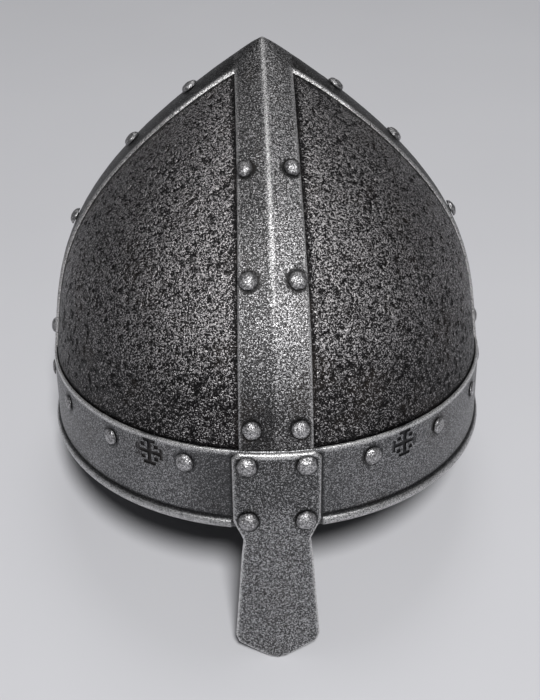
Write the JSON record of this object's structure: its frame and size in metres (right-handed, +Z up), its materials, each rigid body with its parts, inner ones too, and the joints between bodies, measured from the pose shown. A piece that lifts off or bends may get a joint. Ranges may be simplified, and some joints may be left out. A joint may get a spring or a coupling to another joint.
{
  "type": "spangenhelm helmet",
  "caption": "Pointed helmet of pitted steel plates under riveted straps, with a brow band, rolled rim and flared nose guard; it rests on the nose guard's tip and the rear rim.",
  "frame": {"origin": "on the surface it rests on, under the middle of its bounding box", "axes": "+Z up; the face looks towards -Y and the rear towards +Y; +X is to the right of someone looking at the front. The helmet rests laid back about 14.8 degrees, so its own crown axis leans towards +Y"},
  "size_m": [0.2188, 0.281, 0.211],
  "materials": {
    "plate_steel": "blackened and deeply pitted, bright only on the high spots",
    "strap_steel": "blackened, finely grained, rubbed bright along the ridge and edges",
    "band_steel": "blackened, smooth and finely grained, bright on the rolled rim and top edge",
    "nasal_steel": "blackened, finely grained, rubbed along its bevelled edges",
    "rivet_steel": "rough hammered heads rubbed bright on top, dark round the foot"
  },
  "bodies": {
    "root": {"panel_front_left": "plate_steel", "panel_front_right": "plate_steel", "panel_rear_left": "plate_steel", "panel_rear_right": "plate_steel", "span_frame": "strap_steel", "brow_band": "band_steel", "nasal": "nasal_steel", "front_span_rivet_1": "rivet_steel", "front_span_rivet_2": "rivet_steel", "front_span_rivet_3": "rivet_steel", "front_span_rivet_4": "rivet_steel", "front_span_rivet_5": "rivet_steel", "front_span_rivet_6": "rivet_steel", "rear_span_rivet_1": "rivet_steel", "rear_span_rivet_2": "rivet_steel", "rear_span_rivet_3": "rivet_steel", "rear_span_rivet_4": "rivet_steel", "rear_span_rivet_5": "rivet_steel", "rear_span_rivet_6": "rivet_steel", "side_span_rivet_1": "rivet_steel", "side_span_rivet_2": "rivet_steel", "side_span_rivet_3": "rivet_steel", "side_span_rivet_4": "rivet_steel", "side_span_rivet_5": "rivet_steel", "side_span_rivet_6": "rivet_steel", "side_span_rivet_7": "rivet_steel", "side_span_rivet_8": "rivet_steel", "band_rivet_1": "rivet_steel", "band_rivet_2": "rivet_steel", "band_rivet_3": "rivet_steel", "band_rivet_4": "rivet_steel", "band_rivet_5": "rivet_steel", "band_rivet_6": "rivet_steel", "band_rivet_7": "rivet_steel", "band_rivet_8": "rivet_steel", "band_rivet_9": "rivet_steel", "band_rivet_10": "rivet_steel", "band_rivet_11": "rivet_steel", "band_rivet_12": "rivet_steel", "band_rivet_13": "rivet_steel", "band_rivet_14": "rivet_steel", "band_rivet_15": "rivet_steel", "band_rivet_16": "rivet_steel", "band_rivet_17": "rivet_steel", "nasal_rivet_1": "rivet_steel", "nasal_rivet_2": "rivet_steel", "nasal_rivet_3": "rivet_steel", "nasal_rivet_4": "rivet_steel"}
  },
  "joints": []
}
